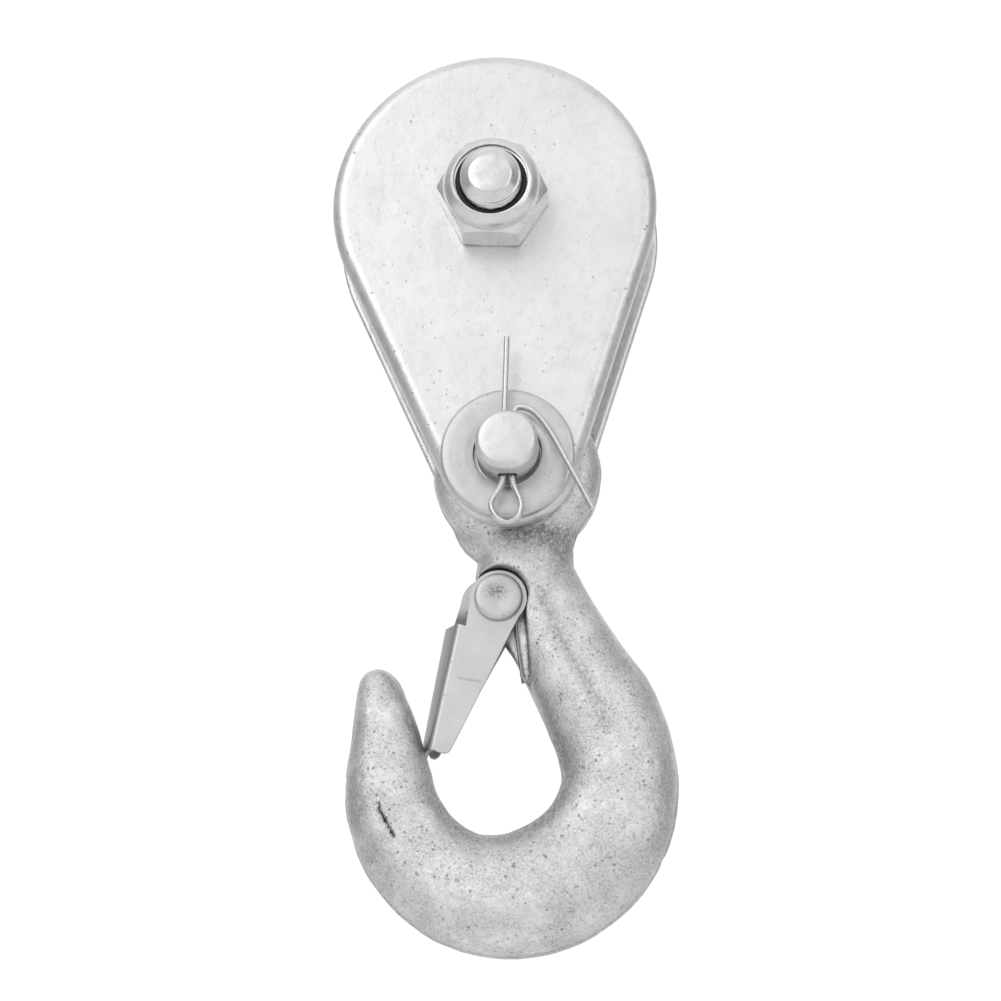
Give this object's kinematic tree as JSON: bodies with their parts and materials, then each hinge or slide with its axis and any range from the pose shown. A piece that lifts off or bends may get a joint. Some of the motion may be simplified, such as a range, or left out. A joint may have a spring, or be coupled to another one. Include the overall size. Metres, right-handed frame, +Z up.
{
  "type": "crane hook block",
  "caption": "Hook block with two teardrop cheek plates, a grooved sheave on a bearing, a clevis pin and a swinging eye hook with a sprung safety latch.",
  "frame": {"origin": "centre of the sheave on the axle bolt's axis, midway between the two cheek plates", "axes": "+Z up along the cheek plates, from the hook towards the sheave; Y along the axle bolt and the clevis pin, with the lock nut at -Y; the hook's mouth opens towards -X"},
  "size_m": [0.0671, 0.048, 0.1798],
  "materials": {
    "plate_zinc": "satin bright zinc plate with faint mottling",
    "hook_zinc": "forged surface under grainy zinc, darker specks",
    "latch_zinc": "smooth zinc-plated pressed sheet",
    "fastener_zinc": "bright zinc-plated bolt, nut, pin and rivet",
    "washer_steel": "stamped washer, zinc plated",
    "wire_steel": "bright drawn wire",
    "spring_steel": "spring wire, oiled",
    "bearing_steel": "ground bearing steel",
    "cage_steel": "pressed steel",
    "shield_steel": "pressed steel shield",
    "sheave_steel": "turned steel, zinc plated",
    "nylon_black": "moulded nylon ring"
  },
  "bodies": {
    "cheek_block": {"front_cheek_plate": "plate_zinc", "rear_cheek_plate": "plate_zinc", "axle_bolt": "fastener_zinc", "lock_nut": "fastener_zinc", "nut_nylon_insert": "nylon_black", "front_spacer": "fastener_zinc", "rear_spacer": "fastener_zinc", "bearing_inner_race": "bearing_steel"},
    "sheave_wheel": {"sheave": "sheave_steel", "bearing_outer_race": "bearing_steel", "front_bearing_shield": "shield_steel", "rear_bearing_shield": "shield_steel"},
    "ball_ring": {"bearing_balls": "bearing_steel", "bearing_cage": "cage_steel"},
    "pin_set": {"clevis_pin": "fastener_zinc", "clevis_washer": "washer_steel", "split_pin": "wire_steel"},
    "hook_arm": {"hook": "hook_zinc", "latch_rivet": "fastener_zinc", "latch_spring": "spring_steel"},
    "latch_gate": {"latch": "latch_zinc"}
  },
  "joints": [
    {"name": "sheave_spin", "type": "hinge", "parent": "cheek_block", "child": "sheave_wheel", "pos_m": [0, 0, 0], "axis": [0, 1, 0], "continuous": true},
    {"name": "cage_spin", "type": "hinge", "parent": "cheek_block", "child": "ball_ring", "pos_m": [0, 0, 0], "axis": [0, 1, 0], "continuous": true},
    {"name": "pin_turn", "type": "hinge", "parent": "cheek_block", "child": "pin_set", "pos_m": [0, 0, -0.0528], "axis": [0, 1, 0], "continuous": true},
    {"name": "hook_swing", "type": "hinge", "parent": "cheek_block", "child": "hook_arm", "pos_m": [0, 0, -0.0528], "axis": [0, 1, 0], "range_deg": [-102, 92]},
    {"name": "latch_open", "type": "hinge", "parent": "hook_arm", "child": "latch_gate", "pos_m": [-0.00381, 0, -0.07854], "axis": [0, -1, 0], "range_deg": [0, 27], "stiffness_Nm_per_rad": 0.01, "springref_deg": -34.38, "deforming": ["latch_spring"]}
  ],
  "couplings": [
    {"joint": "cage_spin", "follows": "sheave_spin", "ratio": 0.6353}
  ]
}
